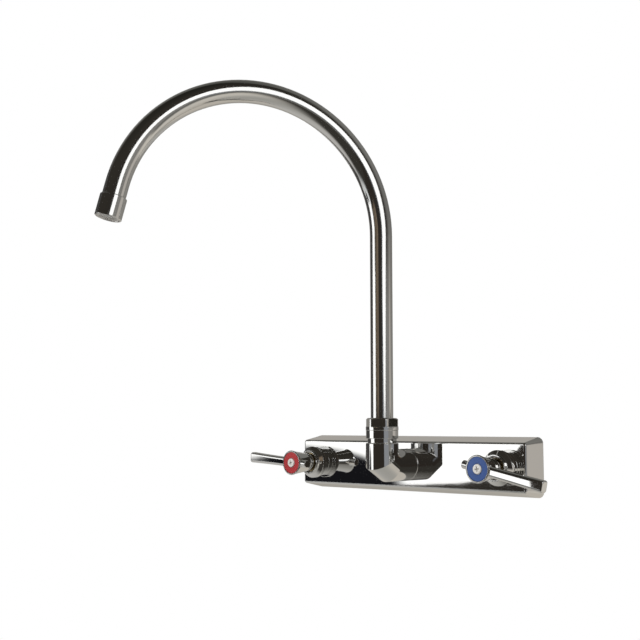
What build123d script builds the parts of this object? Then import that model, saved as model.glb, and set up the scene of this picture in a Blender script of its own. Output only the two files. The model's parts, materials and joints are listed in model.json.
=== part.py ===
from build123d import *
from math import cos, radians, sin, tan
import os

os.makedirs("parts", exist_ok=True)

# Wall faucet with two lever valves and a swivelling gooseneck spout. Millimetres.
# The origin lies on the wall plane, midway between the valves: +X right, +Y into the wall, +Z up.

# ---- Body ---------------------------------------------------------------------------------
valve_centres = 203.2       # 8 in between the hot and the cold valve
end_margin = 22.4           # the body reaches this far past each valve
rear_height = 48.4
end_taper = 2.5             # the box tapers from the wall to its front face
top_taper = 4.4
body_depth = 22.0
rear_corner = 5.0
front_corner = 2.2
front_edge = 1.8
body_wall = 3.2
rib_thickness = 2.6
rib_offsets = (34.0, 66.0)  # from the middle, on both sides

# ---- Waterways of the body ----------------------------------------------------------------
inlet_radius = 10.3         # 1/2 in female pipe thread at the back of each valve
inlet_depth = 9.0
inlet_chamfer = 0.8
seat_thickness = 1.5
seat_port_radius = 4.5
barrel_wall = 4.2
passage_radius = 3.8
passage_wall = 2.8
passage_seat_gap = 0.3
boss_radius = 12.3          # round neck that carries each bonnet
boss_height = 6.4

# ---- Valve cartridges, stations measured forward from the body's front face ----------------
cartridge_radius = 9.0
thread_clearance = 0.05
basket_radius = 8.6
basket_foot_gap = 1.0
disc_radius = 6.4
disc_clearance = 0.1
fixed_disc_thickness = 3.0
moving_disc_thickness = 2.5
port_radius = 3.6
port_width = 2.6
port_sweep = 50.0
seal_thickness = 2.5
seal_radius = 6.3
stem_radius = 5.0
stem_flange_thickness = 2.5
stem_head_radius = 4.2
stem_head_top = 30.0
spline_teeth = 24
spline_depth = 0.25
running_clearance = 0.05
lug_width = 2.0
lug_height = 1.2
hex_flange_flats = 19.0
hex_flange_thickness = 2.4
neck_radius = 7.0
neck_top = 14.5
window_width = 6.0
ring_section = 0.5          # half the thickness of the small O-rings
groove_width = 1.4
stem_ring_station = 5.6
cartridge_ring_station = -0.4
clip_thickness = 0.8
clip_radius = 6.2
clip_groove_radius = 3.8
clip_clearance = 0.3

# ---- Bonnet nuts --------------------------------------------------------------------------
collar_radius = 14.2
collar_end = 9.8
bevel_end = 11.6
rim_radius = 10.6
rim_end = 15.0
dish_radius = 9.7
dish_depth = 1.8
hex_recess_clearance = 0.25

# ---- Handles ------------------------------------------------------------------------------
hub_foot = 16.0
hub_foot_radius = 7.8
hub_shoulder = 35.4
hub_shoulder_radius = 10.5
hub_crest = 36.9
hub_rim = 37.3
hub_rim_radius = 11.0
hub_clip_recess = 1.6
socket_clearance = 0.05
index_radius = 9.6
index_face = 37.1
index_thickness = 1.7
index_hole_radius = 4.1
index_clearance = 0.1
index_edge = 0.4
lever_length = 57.1
lever_root = 4.0
lever_shares = (0, 0.37, 0.74, 1)   # where the cross-sections stand along the lever
lever_root_station = 32.9   # forward station of the lever's centre line at the hub
lever_drop = 2.0            # how much nearer to the wall the tip is
lever_root_height = 8.2
lever_tip_height = 9.6
lever_root_thickness = 7.2
lever_tip_thickness = 7.6
lever_corner = 2.3
lever_end_round = 1.3
stub_radius = 3.45
stub_reach = 16.1
stub_station = 33.2
stub_edge = 0.6
screw_head_radius = 3.85
screw_head_edge = 0.6
screw_head_height = 2.7
screw_radius = 1.95
screw_length = 13.0
screw_clearance = 0.15
screw_tip_gap = 1.0
recess_width = 1.1
recess_length = 4.2
recess_depth = 1.6
hot_lever_angle = 176.2     # turned from +X towards +Z, as seen from the front
cold_lever_angle = -12.0

# ---- Spout elbow --------------------------------------------------------------------------
spout_standoff = 30.2       # riser axis in front of the body's front face
elbow_radius = 13.9
elbow_top = 18.8
knee_height = 4.6           # the sloping middle piece leaves the riser's axis at this height
knee_slope = 30.0           # and runs down to the level leg at this angle
elbow_edge = 0.5
elbow_neck_radius = 12.25
elbow_neck_top = 29.0
spigot_radius = 9.0
spigot_wall = 2.5
spigot_end_gap = 0.5
spigot_land = 1.6           # the body's socket for the spigot ends this far past the passage
spigot_window_radius = 2.6
spout_boss_radius = 14.0
spout_chamber_radius = 11.3
spout_chamber_half = 4.0
elbow_waterway_radius = 6.5
riser_waterway_radius = 6.2
waterway_overrun = 2.0      # the level waterway ends this far past the riser's axis
swivel_bore_radius = 9.6
swivel_bore_floor = 4.5
elbow_ring_station = 2.0    # behind the front face

# ---- Swivel joint of the spout ------------------------------------------------------------
tube_radius = 9.525         # 3/4 in outside diameter
tube_wall = 1.2
swivel_clearance = 0.1
sleeve_foot_gap = 1.0
sleeve_bore_radius = 6.9
sleeve_ring_stations = (10.5, 16.5)
sleeve_groove_depth = 1.0
sleeve_groove_width = 1.6
thrust_washer_thickness = 1.0
sleeve_flange_thickness = 2.5
sleeve_flange_radius = 11.2
braze_clearance = 0.05
braze_spigot_height = 7.5
bush_thickness = 1.1
nut_clearance = 0.32
nut_foot = 22.6
nut_skirt_radius = 13.6
nut_hex_foot = 29.5
nut_top = 39.8
nut_flats = 24.6
nut_round_radius = 13.8
nut_scallop = 1.6
nut_chamfer = 1.3
nut_corner_turn = -5.7      # direction of one hexagon corner, from -Y towards +X

# ---- Spout tube ---------------------------------------------------------------------------
bend_start = 195.0
bend_radius = 114.8
bend_angle = 166.0
swivel_angle = 26.5         # the spout is turned this far to the left of straight out
tail_length = 10.0

# ---- Aerator, stations measured along the tube's end --------------------------------------
housing_radius = 10.8
housing_edge = 0.5
housing_socket_depth = 8.0
housing_socket_clearance = 0.05
housing_step_radius = 8.3
housing_step_length = 1.5
chamber_radius = 9.3
aerator_clearance = 0.1
aerator_washer_thickness = 1.5
aerator_washer_bore = 6.5
screen_thickness = 0.4
screen_hole_radius = 0.6
screen_pitch_radius = 0.9
insert_thickness = 4.0
insert_hole_radius = 1.05
insert_pitch_radius = 1.3
retainer_thickness = 2.2
retainer_bore = 7.6
retainer_notch = 2.0
retainer_recess = 0.4       # the housing ends this far past the retainer

# ---- Derived places -----------------------------------------------------------------------
rear_length = valve_centres + 2 * end_margin
front_length = rear_length - 2 * end_taper
front_height = rear_height - 2 * top_taper
face_y = -body_depth
riser_y = face_y - spout_standoff
half_centres = valve_centres / 2
seat_station = inlet_depth + seat_thickness - body_depth
chamber_bore_radius = cartridge_radius + thread_clearance
seal_top = seat_station + seal_thickness
fixed_disc_top = seal_top + fixed_disc_thickness
moving_disc_top = fixed_disc_top + moving_disc_thickness
stem_flange_top = moving_disc_top + stem_flange_thickness
basket_foot = seat_station + basket_foot_gap
disc_bore_radius = disc_radius + disc_clearance
stem_bore_radius = stem_radius + running_clearance
barrel_radius = inlet_radius + barrel_wall
passage_station = seat_station + passage_seat_gap + passage_radius
spigot_blind_depth = spout_chamber_half - passage_station + spigot_land
hex_flange_top = boss_height + hex_flange_thickness
clip_top = neck_top + clip_thickness
index_floor = index_face - index_thickness
sleeve_foot = swivel_bore_floor + sleeve_foot_gap
sleeve_radius = swivel_bore_radius - swivel_clearance
washer_top = elbow_neck_top + thrust_washer_thickness
flange_top = washer_top + sleeve_flange_thickness
bush_top = flange_top + bush_thickness
nut_bore_radius = tube_radius + nut_clearance

valves = (
    ("hot", -half_centres, hot_lever_angle),
    ("cold", half_centres, cold_lever_angle),
)


def valve_plane(x, forward, angle=0.0):
    """Plane square to a valve's axis, its x axis turned up from +X by the angle."""
    turn = radians(angle)
    return Plane(origin=(x, face_y - forward, 0), x_dir=(cos(turn), 0, sin(turn)), z_dir=(0, -1, 0))


def valve_profile(x):
    """Plane through a valve's axis: local x is the radius, local y the forward station."""
    return Plane(origin=(x, face_y, 0), x_dir=(1, 0, 0), z_dir=(0, 0, -1))


def valve_axis(x):
    return Axis((x, face_y, 0), (0, -1, 0))


riser_profile = Plane(origin=(0, riser_y, 0), x_dir=(1, 0, 0), z_dir=(0, -1, 0))
riser_axis = Axis((0, riser_y, 0), (0, 0, 1))
spout_turn = radians(swivel_angle)
spout_plane = Plane(
    origin=(0, riser_y, 0),
    x_dir=(-sin(spout_turn), -cos(spout_turn), 0),
    z_dir=(-cos(spout_turn), sin(spout_turn), 0),
)

# ---- Body: a drafted box, hollow at the back, cast in one with its barrels and passage -----
front_inner = body_depth - body_wall

with BuildPart() as core:
    with BuildSketch(Plane.XZ):
        RectangleRounded(rear_length - 2 * body_wall, rear_height - 2 * body_wall, rear_corner - body_wall)
    with BuildSketch(Plane.XZ.offset(front_inner)):
        RectangleRounded(front_length - 2 * body_wall, front_height - 2 * body_wall, front_corner)
    loft(ruled=True)
    with BuildSketch(Plane.XZ):
        with Locations((-half_centres, 0), (half_centres, 0)):
            Circle(barrel_radius)
        Circle(spout_boss_radius)
        for offset_x in rib_offsets:
            with Locations((-offset_x, 0), (offset_x, 0)):
                Rectangle(rib_thickness, rear_height)
    extrude(amount=body_depth, mode=Mode.SUBTRACT)
    with BuildSketch(Plane.YZ.offset(-half_centres)):
        with Locations((face_y - passage_station, 0)):
            Circle(passage_radius + passage_wall)
    extrude(amount=valve_centres, mode=Mode.SUBTRACT)

with BuildPart() as faucet_body:
    with BuildSketch(Plane.XZ):
        RectangleRounded(rear_length, rear_height, rear_corner)
    with BuildSketch(Plane.XZ.offset(body_depth)):
        RectangleRounded(front_length, front_height, front_corner)
    loft(ruled=True)
    fillet(faucet_body.faces().sort_by(Axis.Y)[0].edges(), front_edge)
    add(core.part, mode=Mode.SUBTRACT)
    # Round necks for the bonnets
    with BuildSketch(Plane.XZ.offset(body_depth)):
        with Locations((-half_centres, 0), (half_centres, 0)):
            Circle(boss_radius)
    extrude(amount=boss_height)
    # Cartridge chambers, seats and inlets
    with BuildSketch(Plane.XZ.offset(body_depth + boss_height)):
        with Locations((-half_centres, 0), (half_centres, 0)):
            Circle(chamber_bore_radius)
    extrude(amount=seat_station - boss_height, mode=Mode.SUBTRACT)
    with BuildSketch(Plane.XZ):
        with Locations((-half_centres, 0), (half_centres, 0)):
            Circle(inlet_radius)
    extrude(amount=inlet_depth, mode=Mode.SUBTRACT)
    with BuildSketch(Plane.XZ):
        with Locations((-half_centres, 0), (half_centres, 0)):
            Circle(seat_port_radius)
    extrude(amount=body_depth, mode=Mode.SUBTRACT)
    inlet_mouths = faucet_body.edges().filter_by(GeomType.CIRCLE).filter_by(
        lambda edge: abs(edge.radius - inlet_radius) < 0.01 and edge.center().Y > -0.01
    )
    chamfer(inlet_mouths, inlet_chamfer)
    # Passage from one valve to the other, past the spout's socket
    with BuildSketch(Plane.YZ.offset(-half_centres)):
        with Locations((face_y - passage_station, 0)):
            Circle(passage_radius)
    extrude(amount=valve_centres, mode=Mode.SUBTRACT)
    with BuildSketch(Plane.XZ.offset(body_depth)):
        Circle(spigot_radius + thread_clearance)
    extrude(amount=-spigot_blind_depth, mode=Mode.SUBTRACT)
    with BuildSketch(Plane.XZ.offset(body_depth + passage_station + spout_chamber_half)):
        Circle(spout_chamber_radius)
    extrude(amount=-2 * spout_chamber_half, mode=Mode.SUBTRACT)

faucet_body.part.label = "faucet_body"
export_step(faucet_body.part, "parts/faucet_body.step")

# ---- Valves: one cartridge, bonnet and handle for each side ---------------------------------
for side, valve_x, lever_angle in valves:
    profile = valve_profile(valve_x)
    axis = valve_axis(valve_x)

    # Rubber ring between the seat and the fixed disc
    with BuildPart() as seat_seal:
        with BuildSketch(valve_plane(valve_x, seat_station)):
            Circle(seal_radius)
            Circle(seat_port_radius, mode=Mode.SUBTRACT)
        extrude(amount=seal_thickness)
    seat_seal.part.label = f"{side}_seat_seal"
    export_step(seat_seal.part, f"parts/{side}_seat_seal.step")

    # Ceramic disc that stays still, with two kidney-shaped ports
    with BuildPart() as fixed_disc:
        with BuildSketch(valve_plane(valve_x, seal_top)):
            Circle(disc_radius)
            for start in (-port_sweep / 2, 180 - port_sweep / 2):
                SlotArc(CenterArc((0, 0), port_radius, start, port_sweep), port_width, mode=Mode.SUBTRACT)
        extrude(amount=fixed_disc_thickness)
    fixed_disc.part.label = f"{side}_fixed_disc"
    export_step(fixed_disc.part, f"parts/{side}_fixed_disc.step")

    # Ceramic disc that turns: its notches stand across the fixed ports while the valve is shut
    lug_reach = disc_radius - lug_width / 2
    port_floor = port_radius - port_width / 2
    port_length = 2 * port_radius * sin(radians(port_sweep / 2)) + port_width
    with BuildPart() as moving_disc:
        with BuildSketch(valve_plane(valve_x, fixed_disc_top)):
            Circle(disc_radius)
            with PolarLocations(port_floor + disc_radius / 2, 2, start_angle=90):
                Rectangle(disc_radius, port_length, mode=Mode.SUBTRACT)
        extrude(amount=moving_disc_thickness)
        with BuildSketch(valve_plane(valve_x, moving_disc_top)):
            with PolarLocations(lug_reach, 2):
                Rectangle(lug_width + 2 * disc_clearance, lug_width + 2 * disc_clearance)
        extrude(amount=-lug_height, mode=Mode.SUBTRACT)
    moving_disc.part.label = f"{side}_moving_disc"
    export_step(moving_disc.part, f"parts/{side}_moving_disc.step")

    # Brass stem: drive flange with lugs, O-ring groove, clip groove and splined head
    ring_groove_radius = stem_radius - 2 * ring_section
    with BuildPart() as stem:
        with BuildSketch(profile):
            with BuildLine():
                Polyline(
                    (0, moving_disc_top),
                    (disc_radius, moving_disc_top),
                    (disc_radius, stem_flange_top),
                    (stem_radius, stem_flange_top),
                    (stem_radius, stem_ring_station - groove_width / 2),
                    (ring_groove_radius, stem_ring_station - groove_width / 2),
                    (ring_groove_radius, stem_ring_station + groove_width / 2),
                    (stem_radius, stem_ring_station + groove_width / 2),
                    (stem_radius, neck_top),
                    (clip_groove_radius, neck_top),
                    (clip_groove_radius, clip_top),
                    (stem_head_radius, clip_top),
                    (stem_head_radius, stem_head_top),
                    (0, stem_head_top),
                    close=True,
                )
            make_face()
        revolve(axis=axis)
        with BuildSketch(valve_plane(valve_x, moving_disc_top)):
            with PolarLocations(lug_reach - disc_clearance, 2):
                Rectangle(lug_width, lug_width)
        extrude(amount=-(lug_height - disc_clearance))
        with BuildSketch(valve_plane(valve_x, stem_head_top)):
            with PolarLocations(stem_head_radius, spline_teeth):
                Circle(spline_depth)
        extrude(amount=hub_foot + hub_clip_recess - stem_head_top, mode=Mode.SUBTRACT)
        with BuildSketch(valve_plane(valve_x, stem_head_top)):
            Circle(screw_radius + thread_clearance)
        extrude(amount=index_floor - screw_length - stem_head_top - screw_tip_gap, mode=Mode.SUBTRACT)
    stem.part.label = f"{side}_stem"
    export_step(stem.part, f"parts/{side}_stem.step")

    with BuildPart() as stem_ring:
        with BuildSketch(profile):
            with Locations((stem_radius - ring_section, stem_ring_station)):
                Circle(ring_section)
        revolve(axis=axis)
    stem_ring.part.label = f"{side}_stem_ring"
    export_step(stem_ring.part, f"parts/{side}_stem_ring.step")

    # C-shaped clip that keeps the stem in the cartridge
    with BuildPart() as stem_clip:
        with BuildSketch(valve_plane(valve_x, neck_top, lever_angle)):
            Circle(clip_radius)
            Circle(clip_groove_radius, mode=Mode.SUBTRACT)
            with Locations((0, clip_radius)):
                Rectangle(clip_groove_radius, 2 * clip_radius, mode=Mode.SUBTRACT)
        extrude(amount=clip_thickness)
    stem_clip.part.label = f"{side}_stem_clip"
    export_step(stem_clip.part, f"parts/{side}_stem_clip.step")

    # Brass cartridge: basket with windows, thread, O-ring groove, hexagon flange and neck
    body_groove_radius = cartridge_radius - 2 * ring_section
    with BuildPart() as cartridge:
        with BuildSketch(profile):
            with BuildLine():
                Polyline(
                    (disc_bore_radius, basket_foot),
                    (basket_radius, basket_foot),
                    (basket_radius, cartridge_ring_station - groove_width),
                    (cartridge_radius, cartridge_ring_station - groove_width),
                    (cartridge_radius, cartridge_ring_station - groove_width / 2),
                    (body_groove_radius, cartridge_ring_station - groove_width / 2),
                    (body_groove_radius, cartridge_ring_station + groove_width / 2),
                    (cartridge_radius, cartridge_ring_station + groove_width / 2),
                    (cartridge_radius, boss_height),
                    (neck_radius, boss_height),
                    (neck_radius, neck_top),
                    (stem_bore_radius, neck_top),
                    (stem_bore_radius, stem_flange_top),
                    (disc_bore_radius, stem_flange_top),
                    close=True,
                )
            make_face()
        revolve(axis=axis)
        with BuildSketch(valve_plane(valve_x, boss_height)):
            RegularPolygon(hex_flange_flats / 2, 6, major_radius=False)
            Circle(neck_radius, mode=Mode.SUBTRACT)
        extrude(amount=hex_flange_thickness)
        with BuildSketch(Plane.YZ.offset(valve_x - cartridge_radius)):
            with Locations((face_y - (fixed_disc_top + moving_disc_top) / 2, 0)):
                Rectangle(moving_disc_thickness, window_width)
        extrude(amount=2 * cartridge_radius, mode=Mode.SUBTRACT)
    cartridge.part.label = f"{side}_cartridge_body"
    export_step(cartridge.part, f"parts/{side}_cartridge_body.step")

    with BuildPart() as cartridge_ring:
        with BuildSketch(profile):
            with Locations((cartridge_radius - ring_section, cartridge_ring_station)):
                Circle(ring_section)
        revolve(axis=axis)
    cartridge_ring.part.label = f"{side}_cartridge_ring"
    export_step(cartridge_ring.part, f"parts/{side}_cartridge_ring.step")

    # Bonnet nut: collar, shallow bevel, round rim and a dished front
    hex_recess_radius = hex_flange_flats / 2 / cos(radians(30)) + hex_recess_clearance
    with BuildPart() as bonnet:
        with BuildSketch(profile):
            with BuildLine():
                Polyline(
                    (hex_recess_radius, boss_height),
                    (collar_radius, boss_height),
                    (collar_radius, collar_end),
                    (rim_radius, bevel_end),
                    (rim_radius, rim_end),
                    (dish_radius, rim_end),
                    (neck_radius + thread_clearance, rim_end - dish_depth),
                    (neck_radius + thread_clearance, hex_flange_top),
                    (hex_recess_radius, hex_flange_top),
                    close=True,
                )
            make_face()
        revolve(axis=axis)
    bonnet.part.label = f"{side}_bonnet_nut"
    export_step(bonnet.part, f"parts/{side}_bonnet_nut.step")

    # Handle: conical hub with a lever on one side and a short stub on the other
    hub_frame = valve_plane(valve_x, lever_root_station, lever_angle)
    with BuildPart() as lever:
        for share in lever_shares:
            reach = lever_root + (lever_length - lever_root) * share
            height = lever_root_height + (lever_tip_height - lever_root_height) * share**2
            thickness = lever_root_thickness + (lever_tip_thickness - lever_root_thickness) * share**2
            centre = hub_frame.from_local_coords((reach, 0, -lever_drop * share))
            with BuildSketch(Plane(origin=centre, x_dir=hub_frame.y_dir, z_dir=hub_frame.x_dir)):
                RectangleRounded(height, thickness, lever_corner)
        loft()
        tip_face = lever.faces().filter_by(GeomType.PLANE).sort_by_distance(centre)[0]
        fillet(tip_face.edges(), lever_end_round)

    stub_plane = valve_plane(valve_x, stub_station, lever_angle)
    with BuildPart() as stub:
        with BuildSketch(Plane(origin=stub_plane.origin, x_dir=stub_plane.y_dir, z_dir=-stub_plane.x_dir)):
            Circle(stub_radius)
        extrude(amount=stub_reach)
        stub_end = stub.faces().sort_by_distance(stub_plane.from_local_coords((-stub_reach, 0, 0)))[0]
        fillet(stub_end.edges(), stub_edge)

    socket_radius = stem_head_radius + socket_clearance
    recess_radius = index_radius + index_clearance
    counterbore_radius = clip_radius + clip_clearance
    with BuildPart() as handle:
        with BuildSketch(profile):
            with BuildLine():
                Polyline(
                    (counterbore_radius, hub_foot),
                    (hub_foot_radius, hub_foot),
                    (hub_shoulder_radius, hub_shoulder),
                    (hub_rim_radius, hub_crest),
                    ((hub_rim_radius + recess_radius) / 2, hub_rim),
                    (recess_radius, hub_rim),
                    (recess_radius, index_floor),
                    (0, index_floor),
                    (0, hub_foot + hub_clip_recess),
                    (counterbore_radius, hub_foot + hub_clip_recess),
                    close=True,
                )
            make_face()
        revolve(axis=axis)
        add(lever.part)
        add(stub.part)
        with BuildSketch(valve_plane(valve_x, hub_foot)):
            Circle(socket_radius)
        extrude(amount=stem_head_top - hub_foot, mode=Mode.SUBTRACT)
        with BuildSketch(valve_plane(valve_x, hub_foot)):
            Circle(screw_radius + screw_clearance)
        extrude(amount=index_face - hub_foot, mode=Mode.SUBTRACT)
        with BuildSketch(valve_plane(valve_x, index_floor)):
            Circle(recess_radius)
        extrude(amount=index_thickness, mode=Mode.SUBTRACT)
    handle.part.label = f"{side}_handle"
    export_step(handle.part, f"parts/{side}_handle.step")

    # Coloured ring around the handle's screw
    with BuildPart() as index_ring:
        with BuildSketch(valve_plane(valve_x, index_floor)):
            Circle(index_radius)
            Circle(index_hole_radius, mode=Mode.SUBTRACT)
        extrude(amount=index_thickness)
        fillet(index_ring.faces().sort_by(Axis.Y)[0].edges(), index_edge)
    index_ring.part.label = f"{side}_index_ring"
    export_step(index_ring.part, f"parts/{side}_index_ring.step")

    # Cross-recessed screw that holds the handle on the stem
    with BuildPart() as handle_screw:
        with BuildSketch(valve_plane(valve_x, index_floor)):
            Circle(screw_head_radius)
        extrude(amount=screw_head_height)
        fillet(handle_screw.faces().sort_by(Axis.Y)[0].edges(), screw_head_edge)
        with BuildSketch(valve_plane(valve_x, index_floor)):
            Circle(screw_radius)
        extrude(amount=-screw_length)
        with BuildSketch(valve_plane(valve_x, index_floor + screw_head_height, lever_angle + 20)):
            Rectangle(recess_length, recess_width)
            Rectangle(recess_width, recess_length)
        extrude(amount=-recess_depth, taper=12, mode=Mode.SUBTRACT)
    handle_screw.part.label = f"{side}_handle_screw"
    export_step(handle_screw.part, f"parts/{side}_handle_screw.step")

# ---- Elbow: an upright leg and a level leg into the body, joined by a sloping piece ----------
knee_tilt = radians(knee_slope)
knee_run = knee_height / tan(knee_tilt)
upper_tilt = radians(90 - knee_slope) / 2
lower_tilt = knee_tilt / 2
upper_mitre = Plane(
    origin=(0, riser_y, knee_height), x_dir=(1, 0, 0), z_dir=(0, -sin(upper_tilt), cos(upper_tilt))
)
lower_mitre = Plane(
    origin=(0, riser_y + knee_run, 0), x_dir=(1, 0, 0), z_dir=(0, cos(lower_tilt), -sin(lower_tilt))
)
knee_middle = Plane(
    origin=(0, riser_y + knee_run / 2, knee_height / 2),
    x_dir=(1, 0, 0),
    z_dir=(0, -cos(knee_tilt), sin(knee_tilt)),
)

with BuildPart() as upright_leg:
    with BuildSketch(Plane.XY.offset(-2 * elbow_radius)):
        with Locations((0, riser_y)):
            Circle(elbow_radius)
    extrude(amount=elbow_top + 2 * elbow_radius)
    chamfer(upright_leg.faces().sort_by(Axis.Z)[-1].edges(), elbow_edge)
    split(bisect_by=upper_mitre, keep=Keep.TOP)

with BuildPart() as knee:
    with BuildSketch(knee_middle):
        Circle(elbow_radius)
    extrude(amount=2 * elbow_radius, both=True)
    split(bisect_by=upper_mitre, keep=Keep.BOTTOM)
    split(bisect_by=lower_mitre, keep=Keep.BOTTOM)

with BuildPart() as wall_leg:
    with BuildSketch(Plane.XZ.offset(body_depth)):
        Circle(elbow_radius)
    extrude(amount=spout_standoff + 2 * elbow_radius)
    chamfer(wall_leg.faces().sort_by(Axis.Y)[-1].edges(), elbow_edge)
    split(bisect_by=lower_mitre, keep=Keep.TOP)

with BuildPart() as elbow:
    add(upright_leg.part)
    add(knee.part)
    add(wall_leg.part)
    # Threaded neck for the spout nut
    with BuildSketch(Plane.XY.offset(elbow_top)):
        with Locations((0, riser_y)):
            Circle(elbow_neck_radius)
    extrude(amount=elbow_neck_top - elbow_top)
    # Spigot into the body, with a groove for its ring
    with BuildSketch(Plane.XZ.offset(body_depth)):
        Circle(spigot_radius)
    extrude(amount=-(spigot_blind_depth - spigot_end_gap))
    with BuildSketch(Plane.XZ.offset(body_depth - elbow_ring_station + groove_width / 2)):
        Circle(spigot_radius)
        Circle(spigot_radius - 2 * ring_section, mode=Mode.SUBTRACT)
    extrude(amount=-groove_width, mode=Mode.SUBTRACT)
    # Waterways
    with BuildSketch(Plane.XZ.offset(body_depth - spigot_blind_depth + spigot_wall)):
        Circle(elbow_waterway_radius)
    waterway_length = spigot_blind_depth - spigot_wall + spout_standoff + waterway_overrun
    extrude(amount=waterway_length, mode=Mode.SUBTRACT)
    with BuildSketch(Plane.XY.offset(elbow_neck_top)):
        with Locations((0, riser_y)):
            Circle(swivel_bore_radius)
    extrude(amount=swivel_bore_floor - elbow_neck_top, mode=Mode.SUBTRACT)
    with BuildSketch(Plane.XY.offset(swivel_bore_floor)):
        with Locations((0, riser_y)):
            Circle(riser_waterway_radius)
    extrude(amount=-swivel_bore_floor, mode=Mode.SUBTRACT)
    # Cross holes of the spigot, level with the body's passage
    for window_plane in (Plane.YZ.offset(-spigot_radius), Plane.XY.offset(-spigot_radius)):
        across = (face_y - passage_station, 0) if window_plane.z_dir.X else (0, face_y - passage_station)
        with BuildSketch(window_plane):
            with Locations(across):
                Circle(spigot_window_radius)
        extrude(amount=2 * spigot_radius, mode=Mode.SUBTRACT)

elbow.part.label = "spout_elbow"
export_step(elbow.part, "parts/spout_elbow.step")

with BuildPart() as elbow_ring:
    with BuildSketch(valve_profile(0)):
        with Locations((spigot_radius - ring_section, -elbow_ring_station)):
            Circle(ring_section)
    revolve(axis=valve_axis(0))
elbow_ring.part.label = "elbow_ring"
export_step(elbow_ring.part, "parts/elbow_ring.step")

# ---- Swivel joint ---------------------------------------------------------------------------
with BuildPart() as thrust_washer:
    with BuildSketch(Plane.XY.offset(elbow_neck_top)):
        with Locations((0, riser_y)):
            Circle(elbow_neck_radius)
            Circle(nut_bore_radius, mode=Mode.SUBTRACT)
    extrude(amount=thrust_washer_thickness)
thrust_washer.part.label = "thrust_washer"
export_step(thrust_washer.part, "parts/thrust_washer.step")

# Sleeve brazed into the foot of the tube: it turns in the elbow's bore on two rings
braze_radius = tube_radius - tube_wall - braze_clearance
with BuildPart() as swivel_sleeve:
    with BuildSketch(riser_profile):
        with BuildLine():
            Polyline(
                (sleeve_bore_radius, sleeve_foot),
                (sleeve_radius, sleeve_foot),
                (sleeve_radius, washer_top),
                (sleeve_flange_radius, washer_top),
                (sleeve_flange_radius, flange_top),
                (braze_radius, flange_top),
                (braze_radius, flange_top + braze_spigot_height),
                (sleeve_bore_radius, flange_top + braze_spigot_height),
                close=True,
            )
        make_face()
        for station in sleeve_ring_stations:
            with Locations((sleeve_radius - sleeve_groove_depth / 2, station)):
                Rectangle(sleeve_groove_depth, sleeve_groove_width, mode=Mode.SUBTRACT)
    revolve(axis=riser_axis)
swivel_sleeve.part.label = "swivel_sleeve"
export_step(swivel_sleeve.part, "parts/swivel_sleeve.step")

sleeve_ring_half = (sleeve_groove_depth + swivel_clearance - running_clearance / 2) / 2
with BuildPart() as swivel_rings:
    with BuildSketch(riser_profile):
        for station in sleeve_ring_stations:
            with Locations((sleeve_radius - sleeve_groove_depth + sleeve_ring_half, station)):
                Circle(sleeve_ring_half)
    revolve(axis=riser_axis)
swivel_rings.part.label = "swivel_rings"
export_step(swivel_rings.part, "parts/swivel_rings.step")

# Plastic bush between the sleeve's flange and the nut
nut_cavity_radius = sleeve_flange_radius + nut_clearance
with BuildPart() as swivel_bush:
    with BuildSketch(Plane.XY.offset(flange_top)):
        with Locations((0, riser_y)):
            Circle(nut_cavity_radius - thread_clearance)
            Circle(nut_bore_radius, mode=Mode.SUBTRACT)
    extrude(amount=bush_thickness)
swivel_bush.part.label = "swivel_bush"
export_step(swivel_bush.part, "parts/swivel_bush.step")

# Spout nut: round skirt over the elbow's neck, six scalloped flats above it
half_flats = nut_flats / 2
skirt_bore_radius = elbow_neck_radius + thread_clearance
nut_plane = Plane(
    origin=(0, riser_y, nut_hex_foot),
    x_dir=(sin(radians(nut_corner_turn)), -cos(radians(nut_corner_turn)), 0),
    z_dir=(0, 0, 1),
)
with BuildPart() as flat_cutter:
    with BuildSketch(riser_profile):
        with BuildLine():
            Polyline(
                (0, nut_hex_foot),
                (half_flats, nut_hex_foot),
                (nut_round_radius + nut_scallop, nut_hex_foot + 4 * nut_scallop),
                (nut_round_radius + nut_scallop, nut_top + nut_scallop),
                (0, nut_top + nut_scallop),
                close=True,
            )
        make_face()
    revolve(axis=riser_axis)
    with BuildSketch(nut_plane):
        RegularPolygon(half_flats, 6, major_radius=False)
    extrude(amount=nut_top, mode=Mode.SUBTRACT)

with BuildPart() as spout_nut:
    with BuildSketch(riser_profile):
        with BuildLine():
            Polyline(
                (skirt_bore_radius, nut_foot),
                (nut_skirt_radius, nut_foot),
                (nut_skirt_radius, nut_hex_foot),
                (nut_round_radius, nut_hex_foot),
                (nut_round_radius, nut_top - nut_chamfer * tan(radians(40))),
                (nut_round_radius - nut_chamfer * 1.5, nut_top),
                (nut_bore_radius, nut_top),
                (nut_bore_radius, bush_top),
                (nut_cavity_radius, bush_top),
                (nut_cavity_radius, washer_top),
                (skirt_bore_radius, washer_top),
                close=True,
            )
        make_face()
    revolve(axis=riser_axis)
    add(flat_cutter.part, mode=Mode.SUBTRACT)
spout_nut.part.label = "spout_nut"
export_step(spout_nut.part, "parts/spout_nut.step")

# ---- Spout tube: straight riser, one long bend, short tail ----------------------------------
tail_x = sin(radians(bend_angle))
tail_y = cos(radians(bend_angle))
bend_end_x = bend_radius - bend_radius * tail_y
bend_end_y = bend_start + bend_radius * tail_x
tube_tail = tail_length + housing_socket_depth

with BuildLine(spout_plane) as spout_path:
    Line((0, flange_top), (0, bend_start))
    CenterArc((bend_radius, bend_start), bend_radius, 180, -bend_angle)
    Line((bend_end_x, bend_end_y), (bend_end_x + tube_tail * tail_x, bend_end_y + tube_tail * tail_y))

with BuildPart() as spout_tube:
    with BuildSketch(Plane.XY.offset(flange_top)):
        with Locations((0, riser_y)):
            Circle(tube_radius)
            Circle(tube_radius - tube_wall, mode=Mode.SUBTRACT)
    sweep(path=spout_path.wires()[0])
spout_tube.part.label = "spout_tube"
export_step(spout_tube.part, "parts/spout_tube.step")

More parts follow.
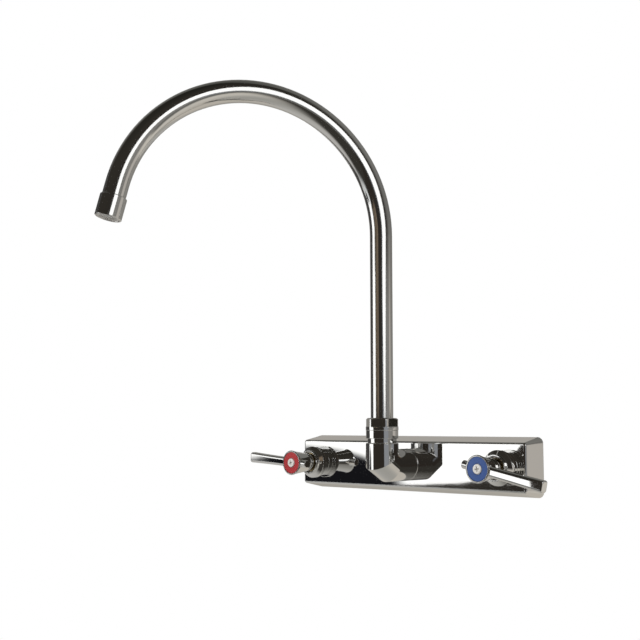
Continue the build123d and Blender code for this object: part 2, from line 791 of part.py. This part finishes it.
# ---- Aerator on the tube's end ----------------------------------------------------------------
tail_end_x = bend_end_x + tail_length * tail_x
tail_end_y = bend_end_y + tail_length * tail_y
tip_origin = spout_plane.from_local_coords((tail_end_x, tail_end_y, 0))
tip_direction = spout_plane.from_local_coords((tail_x, tail_y, 0)) - spout_plane.origin
tip_plane = Plane(origin=tip_origin, x_dir=spout_plane.z_dir, z_dir=tip_direction)
tip_side = spout_plane.z_dir.cross(tip_direction)
tip_profile = Plane(origin=tip_origin, x_dir=spout_plane.z_dir, z_dir=tip_side)
tip_axis = Axis(tip_origin, tip_direction)
step_end = housing_socket_depth + housing_step_length
washer_end = step_end + aerator_washer_thickness
screen_end = washer_end + screen_thickness
insert_end = screen_end + insert_thickness
retainer_end = insert_end + retainer_thickness
housing_length = retainer_end + retainer_recess
aerator_radius = chamber_radius - aerator_clearance

with BuildPart() as aerator_housing:
    with BuildSketch(tip_profile):
        with BuildLine():
            Polyline(
                (tube_radius + housing_socket_clearance, 0),
                (housing_radius - housing_edge, 0),
                (housing_radius, housing_edge),
                (housing_radius, housing_length - housing_edge),
                (housing_radius - housing_edge, housing_length),
                (chamber_radius, housing_length),
                (chamber_radius, step_end),
                (housing_step_radius, step_end),
                (housing_step_radius, housing_socket_depth),
                (tube_radius + housing_socket_clearance, housing_socket_depth),
                close=True,
            )
        make_face()
    revolve(axis=tip_axis)
aerator_housing.part.label = "aerator_housing"
export_step(aerator_housing.part, "parts/aerator_housing.step")

with BuildPart() as aerator_washer:
    with BuildSketch(tip_plane.offset(step_end)):
        Circle(aerator_radius)
        Circle(aerator_washer_bore, mode=Mode.SUBTRACT)
    extrude(amount=aerator_washer_thickness)
aerator_washer.part.label = "aerator_washer"
export_step(aerator_washer.part, "parts/aerator_washer.step")

with BuildPart() as aerator_screen:
    with BuildSketch(tip_plane.offset(washer_end)):
        Circle(aerator_radius)
        with HexLocations(screen_pitch_radius, 7, 7):
            Circle(screen_hole_radius, mode=Mode.SUBTRACT)
    extrude(amount=screen_thickness)
aerator_screen.part.label = "aerator_screen"
export_step(aerator_screen.part, "parts/aerator_screen.step")

with BuildPart() as aerator_insert:
    with BuildSketch(tip_plane.offset(screen_end)):
        Circle(aerator_radius)
        with HexLocations(insert_pitch_radius, 5, 5):
            Circle(insert_hole_radius, mode=Mode.SUBTRACT)
    extrude(amount=insert_thickness)
aerator_insert.part.label = "aerator_insert"
export_step(aerator_insert.part, "parts/aerator_insert.step")

with BuildPart() as aerator_retainer:
    with BuildSketch(tip_plane.offset(insert_end)):
        Circle(aerator_radius)
        Circle(retainer_bore, mode=Mode.SUBTRACT)
    extrude(amount=retainer_thickness)
    with BuildSketch(tip_plane.offset(retainer_end)):
        with PolarLocations(retainer_bore, 2):
            Rectangle(2 * (aerator_radius - retainer_bore) - retainer_notch / 2, retainer_notch)
    extrude(amount=-retainer_notch / 2, mode=Mode.SUBTRACT)
aerator_retainer.part.label = "aerator_retainer"
export_step(aerator_retainer.part, "parts/aerator_retainer.step")
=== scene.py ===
import json
import math

import bpy
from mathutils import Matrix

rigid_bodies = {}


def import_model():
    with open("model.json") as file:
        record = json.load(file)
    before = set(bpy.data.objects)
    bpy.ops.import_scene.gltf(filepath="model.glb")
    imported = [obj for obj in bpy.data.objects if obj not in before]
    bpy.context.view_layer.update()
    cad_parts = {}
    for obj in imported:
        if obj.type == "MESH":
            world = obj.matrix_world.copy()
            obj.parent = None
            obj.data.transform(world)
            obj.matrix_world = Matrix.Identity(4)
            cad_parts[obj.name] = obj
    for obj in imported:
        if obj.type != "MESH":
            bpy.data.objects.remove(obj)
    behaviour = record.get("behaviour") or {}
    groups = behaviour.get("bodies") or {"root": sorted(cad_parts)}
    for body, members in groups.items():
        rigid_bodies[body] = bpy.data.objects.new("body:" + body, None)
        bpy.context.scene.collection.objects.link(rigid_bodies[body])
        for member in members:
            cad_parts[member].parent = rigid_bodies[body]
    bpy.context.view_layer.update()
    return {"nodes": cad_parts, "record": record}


for leftover in list(bpy.data.objects):
    bpy.data.objects.remove(leftover)

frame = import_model()
nodes = frame["nodes"]
scene = bpy.context.scene
scene.view_settings.view_transform = "Standard"

chrome_level = 0.9          # what the chrome gives back of the light that falls on it


# ---- Small helpers for colours and shader trees -------------------------------------------

def linear(value):
    """One channel of a screen colour, 0 to 255, as linear light."""
    value /= 255
    return value / 12.92 if value <= 0.04045 else ((value + 0.055) / 1.055) ** 2.4


def mirrored(colour):
    """The linear RGBA glow that the chrome mirrors as this screen colour."""
    return (*(linear(channel) / chrome_level for channel in colour), 1.0)


class Tree:
    """A shader tree that is built one node at a time."""

    def __init__(self, owner):
        owner.use_nodes = True
        self.tree = owner.node_tree
        self.tree.nodes.clear()

    def add(self, kind, **settings):
        node = self.tree.nodes.new(kind)
        for name, value in settings.items():
            setattr(node, name, value)
        return node

    def link(self, source, target):
        self.tree.links.new(source, target)

    def feed(self, socket, value):
        """Links a socket's source, or sets its plain value."""
        if isinstance(value, bpy.types.NodeSocket):
            self.link(value, socket)
        else:
            socket.default_value = value

    def math(self, operation, first, second=0.0):
        node = self.add("ShaderNodeMath", operation=operation)
        self.feed(node.inputs[0], first)
        self.feed(node.inputs[1], second)
        return node.outputs[0]

    def smooth(self, value, start, end, low=0.0, high=1.0):
        """Smooth step from low, where the value is start, to high, where it is end."""
        node = self.add("ShaderNodeMapRange", interpolation_type="SMOOTHSTEP")
        self.feed(node.inputs["Value"], value)
        node.inputs["From Min"].default_value = start
        node.inputs["From Max"].default_value = end
        node.inputs["To Min"].default_value = low
        node.inputs["To Max"].default_value = high
        return node.outputs["Result"]

    def band(self, value, start, end, soft):
        """1 between start and end, 0 outside, with edges as wide as soft."""
        rise = self.smooth(value, start - soft / 2, start + soft / 2)
        fall = self.smooth(value, end - soft / 2, end + soft / 2, low=1.0, high=0.0)
        return self.math("MULTIPLY", rise, fall)

    def mix(self, factor, first, second):
        """Colour mix."""
        node = self.add("ShaderNodeMix", data_type="RGBA")
        self.feed(node.inputs["Factor"], factor)
        self.feed(node.inputs[6], first)
        self.feed(node.inputs[7], second)
        return node.outputs[2]

    def fade(self, factor, first, second):
        """Shader mix."""
        node = self.add("ShaderNodeMixShader")
        self.link(factor, node.inputs["Fac"])
        self.link(first, node.inputs[1])
        self.link(second, node.inputs[2])
        return node.outputs[0]

    def noise(self, vector, scale, detail, roughness=0.5, distortion=0.0):
        node = self.add("ShaderNodeTexNoise")
        self.link(vector, node.inputs["Vector"])
        node.inputs["Scale"].default_value = scale
        node.inputs["Detail"].default_value = detail
        node.inputs["Roughness"].default_value = roughness
        node.inputs["Distortion"].default_value = distortion
        return node.outputs["Fac"]

    def bump(self, height, distance, normal=None):
        node = self.add("ShaderNodeBump")
        self.link(height, node.inputs["Height"])
        node.inputs["Distance"].default_value = distance
        if normal is not None:
            self.link(normal, node.inputs["Normal"])
        return node.outputs["Normal"]

    def object_place(self):
        """The object's own coordinates."""
        return self.add("ShaderNodeTexCoord").outputs["Object"]

    def split(self, vector):
        """The three coordinates of a vector."""
        node = self.add("ShaderNodeSeparateXYZ")
        self.link(vector, node.inputs[0])
        return node.outputs


def principled(name):
    """A new material with one Principled shader. Returns it, its tree, the shader and the
    object coordinates."""
    material = bpy.data.materials.new(name)
    tree = Tree(material)
    shader = tree.add("ShaderNodeBsdfPrincipled")
    tree.link(shader.outputs["BSDF"], tree.add("ShaderNodeOutputMaterial").inputs["Surface"])
    return material, tree, shader, tree.object_place()


def glowing(name):
    """A new material that only glows: returns it, its tree and the socket of its colour."""
    material = bpy.data.materials.new(name)
    tree = Tree(material)
    glow = tree.add("ShaderNodeEmission")
    tree.link(glow.outputs[0], tree.add("ShaderNodeOutputMaterial").inputs["Surface"])
    return material, tree, glow.inputs["Color"]


# ---- Camera at the photograph's viewing angle ---------------------------------------------
camera_place = (0.586814, -0.744464, 0.033811)
camera_rise = 5.619         # degrees that it looks up
camera_turn = 43.598        # degrees that it looks to the left of straight at the wall

camera_data = bpy.data.cameras.new("camera")
camera_data.lens = 60.08
camera_data.sensor_width = 36
camera = bpy.data.objects.new("camera", camera_data)
scene.collection.objects.link(camera)
camera.location = camera_place
camera.rotation_euler = (math.radians(90 + camera_rise), 0, math.radians(camera_turn))
scene.camera = camera

# ---- World: white behind the object, soft even light on it --------------------------------
ambient_strength = 0.45
white = (1, 1, 1, 1)

world = bpy.data.worlds.new("studio_air")
scene.world = world
air = Tree(world)
path = air.add("ShaderNodeLightPath")
seen = air.math("MAXIMUM", path.outputs["Is Camera Ray"], path.outputs["Is Glossy Ray"])
seen = air.math("MAXIMUM", seen, path.outputs["Is Transmission Ray"])
ambient = air.add("ShaderNodeBackground")
ambient.inputs["Color"].default_value = white
ambient.inputs["Strength"].default_value = ambient_strength
backdrop = air.add("ShaderNodeBackground")
backdrop.inputs["Color"].default_value = white
backdrop.inputs["Strength"].default_value = 1.0
air_output = air.add("ShaderNodeOutputWorld")
air.link(air.fade(seen, ambient.outputs[0], backdrop.outputs[0]), air_output.inputs["Surface"])


# ---- Lamps --------------------------------------------------------------------------------

def lamp(name, place, size, power):
    """A square lamp that points at the faucet and isn't mirrored itself."""
    data = bpy.data.lights.new(name, "AREA")
    data.size = size
    data.energy = power
    thing = bpy.data.objects.new(name, data)
    scene.collection.objects.link(thing)
    thing.location = place
    east, north, up = (end - start for start, end in zip(place, lamp_target))
    thing.rotation_euler = (math.atan2(math.hypot(east, north), -up), 0, math.atan2(-east, north))
    thing.visible_glossy = False


lamp_target = (0, -0.08, 0.1)
lamp("lamp_left", place=(-1.1, -1.3, 0.6), size=1.0, power=20)
lamp("lamp_right", place=(1.6, -0.5, 0.7), size=1.0, power=18)
lamp("lamp_top", place=(0.1, -0.5, 1.7), size=1.2, power=16)


# ---- Studio that the chrome mirrors: a dome, the ground, soft boxes, dark walls and flags ----

def reflected_only(thing, material):
    """The object is seen in reflections and lights nothing else."""
    thing.data.materials.append(material)
    thing.visible_camera = False
    thing.visible_diffuse = False
    thing.visible_shadow = False
    thing.visible_volume_scatter = False
    material.cycles.emission_sampling = "NONE"


def patched(tree, colour, across, along, patches):
    """Lays soft-edged patches over a colour. A patch is its screen colour, its ends across and
    along, the widths of its soft edges across and along, and how strongly it covers."""
    for patch_colour, ends_across, ends_along, softness, strength in patches:
        cover = tree.math("MULTIPLY", tree.band(across, *ends_across, softness[0]),
                          tree.band(along, *ends_along, softness[1]))
        cover = tree.math("MULTIPLY", cover, strength)
        colour = tree.mix(cover, colour, mirrored(patch_colour))
    return colour


# Dome of walls and ceiling. Directions are seen from its centre: bearing in degrees from
# straight out of the wall towards the right, and height in degrees above level.
dome_centre = (-0.04, -0.14, 0.2)
dome_radius = 6.0
front_steps = ((-60, (52, 50, 46)), (-10, (46, 43, 39)), (12, (38, 35, 32)), (30, (48, 45, 40)),
               (50, (40, 38, 34)), (85, (30, 30, 26)))      # height, colour
rear_steps = ((-30, (143, 140, 133)), (0, (134, 131, 126)), (16, (92, 91, 88)),
              (34, (120, 119, 115)), (55, (100, 99, 95)), (85, (58, 59, 54)))
rear_to_left = (-96, -56)   # bearings between which the rear turns into the front on the left
right_to_rear = (100, 135)  # and back again on the right
wall_patches = (
    ((62, 61, 60), (-110, -54), (-30, 26), (10, 14), 1.0),      # dim wall on the left
    ((118, 104, 86), (-16, -8), (-12, 16), (5, 8), 1.0),        # two brown strips in front
    ((112, 99, 84), (-3, 10), (-12, 16), (6, 8), 1.0),
    ((92, 94, 98), (47, 60), (-12, 12), (6, 6), 1.0),           # cool strip on the right
    ((122, 120, 116), (84, 118), (-20, 8), (8, 6), 1.0),        # grey wall farther right
    ((160, 156, 150), (-152, -126), (12, 27), (8, 6), 1.0),     # pale patch behind on the left
    ((168, 163, 156), (122, 150), (-12, 7), (10, 8), 1.0),      # pale wall behind on the right
)

bpy.ops.mesh.primitive_ico_sphere_add(subdivisions=5, radius=dome_radius, location=dome_centre)
dome = bpy.context.object
dome.name = "studio_walls"
for polygon in dome.data.polygons:
    polygon.use_smooth = True
walls, shell, shell_colour = glowing("studio_walls")
unit = shell.add("ShaderNodeVectorMath", operation="NORMALIZE")
shell.link(shell.object_place(), unit.inputs[0])
to_x, to_y, to_z = shell.split(unit.outputs["Vector"])
degrees = 180 / math.pi
out_of_wall = shell.math("MULTIPLY", to_y, -1.0)
bearing_seen = shell.math("MULTIPLY", shell.math("ARCTAN2", to_x, out_of_wall), degrees)
height_seen = shell.math("MULTIPLY", shell.math("ARCSINE", to_z), degrees)


def climb(steps):
    """Colour by height: steps are (height in degrees, screen colour)."""
    ramp = shell.add("ShaderNodeValToRGB")
    ramp.color_ramp.interpolation = "B_SPLINE"
    share = shell.add("ShaderNodeMapRange")
    shell.link(height_seen, share.inputs["Value"])
    share.inputs["From Min"].default_value = -90
    share.inputs["From Max"].default_value = 90
    shell.link(share.outputs["Result"], ramp.inputs["Fac"])
    elements = ramp.color_ramp.elements
    while len(elements) < len(steps):
        elements.new(0.5)
    for element, (level, colour) in zip(elements, steps):
        element.position = (level + 90) / 180
        element.color = mirrored(colour)
    return ramp.outputs["Color"]


front = climb(front_steps)
rear = climb(rear_steps)
turn_left = shell.smooth(bearing_seen, *rear_to_left)
turn_right = shell.smooth(bearing_seen, *right_to_rear, low=1.0, high=0.0)
room = shell.mix(shell.math("MULTIPLY", turn_left, turn_right), rear, front)
shell.link(patched(shell, room, bearing_seen, height_seen, wall_patches), shell_colour)
reflected_only(dome, walls)

# Ground below the faucet: dark in front of an edge that runs back to the left, pale behind it
ground_level = -0.3
ground_radius = 3.0
ground_edge = -0.34         # where the edge runs on the right
ground_edge_slope = 0.5     # how fast it runs back on the left
ground_edge_soft = 0.17
dark_ground = (50, 48, 44)
pale_grounds = ((172, 170, 166), (150, 148, 142), (186, 181, 172))  # left, middle and right
left_to_middle = (-0.5, 0.1)
middle_to_right = (0.15, 0.7)
ground_patches = (
    ((214, 216, 215), (-2.6, -0.75), (-3.0, -0.95), (0.8, 0.9), 0.9),
    ((156, 152, 144), (-2.0, -0.3), (0.35, 1.6), (0.4, 0.4), 1.0),
    ((62, 61, 60), (-3.4, -1.1), (-0.75, 0.35), (0.4, 0.3), 1.0),
    ((98, 97, 93), (1.3, 3.4), (-1.3, 0.9), (0.5, 0.4), 1.0),
    ((178, 172, 162), (-0.45, 0.5), (0.1, 0.9), (0.3, 0.2), 1.0),
)

bpy.ops.mesh.primitive_circle_add(vertices=96, radius=ground_radius, fill_type="NGON",
                                  location=(0, 0, ground_level))
ground = bpy.context.object
ground.name = "studio_ground"
earth, land, land_colour = glowing("studio_ground")
east, north, _ = land.split(land.object_place())
edge = land.math("MULTIPLY", land.math("MINIMUM", east, 0.0), ground_edge_slope)
behind_edge = land.math("SUBTRACT", north, land.math("ADD", edge, ground_edge))
left_ground, middle_ground, right_ground = (mirrored(colour) for colour in pale_grounds)
pale = land.mix(land.smooth(east, *left_to_middle), left_ground, middle_ground)
pale = land.mix(land.smooth(east, *middle_to_right), pale, right_ground)
yard = land.mix(land.smooth(behind_edge, -ground_edge_soft, ground_edge_soft), mirrored(dark_ground), pale)
land.link(patched(land, yard, east, north, ground_patches), land_colour)
reflected_only(ground, earth)


def card(name, colour, corners, distance, bearing=0, start=(0, 0)):
    """An upright glowing card that faces its start from a bearing, in degrees, at a distance.
    Its corners are metres to the right of the bearing and metres above the valves. Returns
    its tree and the two coordinates on it."""
    turn = math.radians(bearing)
    mesh = bpy.data.meshes.new(name)
    mesh.from_pydata([(across, 0, up) for across, up in corners], [], [range(len(corners))])
    thing = bpy.data.objects.new(name, mesh)
    scene.collection.objects.link(thing)
    thing.location = (start[0] + distance * math.sin(turn), start[1] - distance * math.cos(turn), 0)
    thing.rotation_euler = (0, 0, turn)
    material, tree, socket = glowing(name)
    socket.default_value = mirrored(colour)
    reflected_only(thing, material)
    across, _, up = tree.split(tree.object_place())
    return tree, across, up


def block(left, right, foot, top):
    """The corners of an upright rectangle."""
    return ((left, foot), (right, foot), (right, top), (left, top))


# Soft boxes on both sides, with cool grey below the right one
below_spout = (-0.04, -0.14)
box_white = (264, 264, 262)
left_box = ((-0.62, -0.133), (0.10, -0.133), (0.22, -0.129), (0.30, -0.119), (0.43, -0.119),
            (0.45, -0.20), (0.60, -0.20), (0.60, 0.50), (-0.62, 0.95))
right_box = ((-0.47, 0.055), (0.10, 0.055), (0.80, 0.86), (0.29, 1.59), (-0.80, 0.45))
left_bearing = -42.4
right_bearing = 76
skirt = block(left=-0.80, right=0.45, foot=-0.14, top=0.055)
skirt_grey = (128, 130, 134)
card("soft_box_left", box_white, left_box, distance=2.0, bearing=left_bearing, start=below_spout)
card("soft_box_right", box_white, right_box, distance=2.0, bearing=right_bearing, start=below_spout)
card("soft_box_skirt", skirt_grey, skirt, distance=2.2, bearing=right_bearing, start=below_spout)

# Small flag beside the nut, which darkens its right flat
nut_flat = (0.0124, -0.0535)
nut_flag = block(left=-0.004, right=0.010, foot=0.031, top=0.046)
card("nut_flag", (34, 32, 28), nut_flag, distance=0.12, bearing=129, start=nut_flat)

# Low dark wall in front, for the elbow and the nut, and a near strip for the body's right end
low_dark = (42, 38, 34)
strip = ((-0.150, -0.035), (-0.12, -0.035), (-0.12, 0.0105), (-0.140, 0.0105), (-0.150, 0.0))
low_wall = block(left=-0.60, right=1.90, foot=-0.30, top=0.058)
card("low_wall", low_dark, low_wall, distance=1.5)
card("dark_strip", low_dark, strip, distance=0.42)

# Dark flag that the left half of the body's front mirrors: half sizes, height of its centre
flag_width = 0.28
flag_height = 0.12
flag_centre = -0.13
flag_solid = 0.72           # share of its area that isn't faded
flag_angles = [math.radians(angle) for angle in range(0, 360, 6)]
flag_rim = [(flag_width * math.cos(angle), flag_height * math.sin(angle) + flag_centre)
            for angle in flag_angles]
flag_dark = (20, 20, 23)
flag, across, up = card("flag", flag_dark, flag_rim, distance=1.66, bearing=-45, start=(-0.12, -0.02))
away_x = flag.math("DIVIDE", across, flag_width)
away_z = flag.math("DIVIDE", flag.math("SUBTRACT", up, flag_centre), flag_height)
spread = flag.math("ADD", flag.math("MULTIPLY", away_x, away_x), flag.math("MULTIPLY", away_z, away_z))
cover = flag.smooth(spread, flag_solid, 1.0, low=1.0, high=0.0)
flag_surface = flag.tree.nodes["Material Output"].inputs["Surface"]
glow = flag_surface.links[0].from_socket
flag.link(flag.fade(cover, flag.add("ShaderNodeBsdfTransparent").outputs[0], glow), flag_surface)

# ---- Floor: a pale sheet below the faucet that fades into the white around it --------------
floor_level = -0.25
floor_reach = 0.55
floor_centre_y = -0.1
floor_solid = 0.16          # radius up to which it is solid
floor_gone = 0.3            # and from which nothing of it is left
paper_tones = ((0.80, 0.80, 0.79, 1), (0.84, 0.84, 0.835, 1))

bpy.ops.mesh.primitive_circle_add(vertices=96, radius=floor_reach, fill_type="NGON",
                                  location=(0, floor_centre_y, floor_level))
floor = bpy.context.object
floor.name = "floor"
floor.visible_glossy = False
floor_material = bpy.data.materials.new("pale_floor")
sheet = Tree(floor_material)
around = sheet.object_place()
radius = sheet.add("ShaderNodeVectorMath", operation="LENGTH")
sheet.link(around, radius.inputs[0])
shown = sheet.smooth(radius.outputs["Value"], floor_solid, floor_gone, low=1.0, high=0.0)
paper = sheet.add("ShaderNodeBsdfDiffuse")
sheet.link(sheet.mix(sheet.noise(around, scale=60, detail=4), *paper_tones), paper.inputs["Color"])
clear = sheet.add("ShaderNodeBsdfTransparent")
floor_output = sheet.add("ShaderNodeOutputMaterial")
sheet.link(sheet.fade(shown, clear.outputs[0], paper.outputs[0]), floor_output.inputs["Surface"])
floor.data.materials.append(floor_material)


# ---- Finishes. Lengths are metres, scales are per metre ------------------------------------

def mottled(tree, shader, cloud, base, shade, rough, rougher, start, end):
    """Colour between a darker shade of the base and the base, and roughness, by a cloud."""
    dark = tuple(shade * channel for channel in base)
    tree.link(tree.mix(cloud, (*dark, 1), (*base, 1)), shader.inputs["Base Color"])
    tree.link(tree.smooth(cloud, start, end, rough, rough * rougher), shader.inputs["Roughness"])


def chrome(name, base, rough, wave_scale, wave, grain_scale, grain, edge):
    """Plated metal: slight waves of the polish, fine grain, faint smears, and softened edges."""
    material, tree, shader, place = principled(name)
    smear = tree.noise(place, scale=22, detail=5, roughness=0.6, distortion=0.4)
    mottled(tree, shader, smear, base, 0.965, rough, rougher=1.7, start=0.3, end=0.75)
    shader.inputs["Metallic"].default_value = 1.0
    rounded = tree.add("ShaderNodeBevel", samples=6)
    rounded.inputs["Radius"].default_value = edge
    waves = tree.bump(tree.noise(place, wave_scale, detail=1), wave, rounded.outputs["Normal"])
    fine = tree.bump(tree.noise(place, grain_scale, detail=3), grain, waves)
    tree.link(fine, shader.inputs["Normal"])
    return material


def metal(name, base, rough, grain_scale, grain, metallic=1.0):
    """Bare metal: spots in its colour and its polish, and fine grain."""
    material, tree, shader, place = principled(name)
    spots = tree.noise(place, scale=120, detail=4, roughness=0.55)
    mottled(tree, shader, spots, base, 0.82, rough, rougher=1.6, start=0.2, end=0.8)
    shader.inputs["Metallic"].default_value = metallic
    tree.link(tree.bump(tree.noise(place, grain_scale, detail=3), grain), shader.inputs["Normal"])
    return material


def plastic(name, base, rough, coat=0.0, shade=0.9):
    """Plastic, rubber or ceramic: cloudy colour, slightly uneven surface, a clear coat if glossy."""
    material, tree, shader, place = principled(name)
    cloud = tree.noise(place, scale=180, detail=3)
    mottled(tree, shader, cloud, base, shade, rough, rougher=1.5, start=0.25, end=0.8)
    shader.inputs["Coat Weight"].default_value = coat
    shader.inputs["Coat Roughness"].default_value = 0.12
    tree.link(tree.bump(tree.noise(place, scale=900, detail=2), 0.00001), shader.inputs["Normal"])
    return material


finishes = {
    "cast_chrome": chrome("cast_chrome", (0.92, 0.92, 0.915), 0.022, wave_scale=45, wave=0.00001,
                          grain_scale=900, grain=0.0000004, edge=0.0006),
    "tube_chrome": chrome("tube_chrome", (0.91, 0.91, 0.905), 0.085, wave_scale=30, wave=0.00003,
                          grain_scale=1500, grain=0.000003, edge=0.0004),
    # Brass: the yellow hue is the metal's own; its low tone is painted shade for the shaded gap at the
    # handle hub's foot
    "brass": metal("brass", (0.42, 0.34, 0.19), 0.26, grain_scale=1400, grain=0.00001),
    "stainless": metal("stainless", (0.84, 0.81, 0.77), 0.22, grain_scale=1800, grain=0.000006,
                       metallic=0.45),
    "rubber": plastic("rubber", (0.02, 0.02, 0.02), 0.6),
    "ceramic": plastic("ceramic", (0.86, 0.85, 0.82), 0.18),
    "white_plastic": plastic("white_plastic", (0.80, 0.80, 0.77), 0.35),
    "red_plastic": plastic("red_plastic", (0.36, 0.016, 0.020), 0.30, coat=0.5, shade=0.8),
    "blue_plastic": plastic("blue_plastic", (0.030, 0.075, 0.24), 0.30, coat=0.5, shade=0.8),
}

for row in frame["record"]["subparts"]:
    for holder in nodes[row["node"]].material_slots:
        holder.material = finishes[row["material_slot"]]
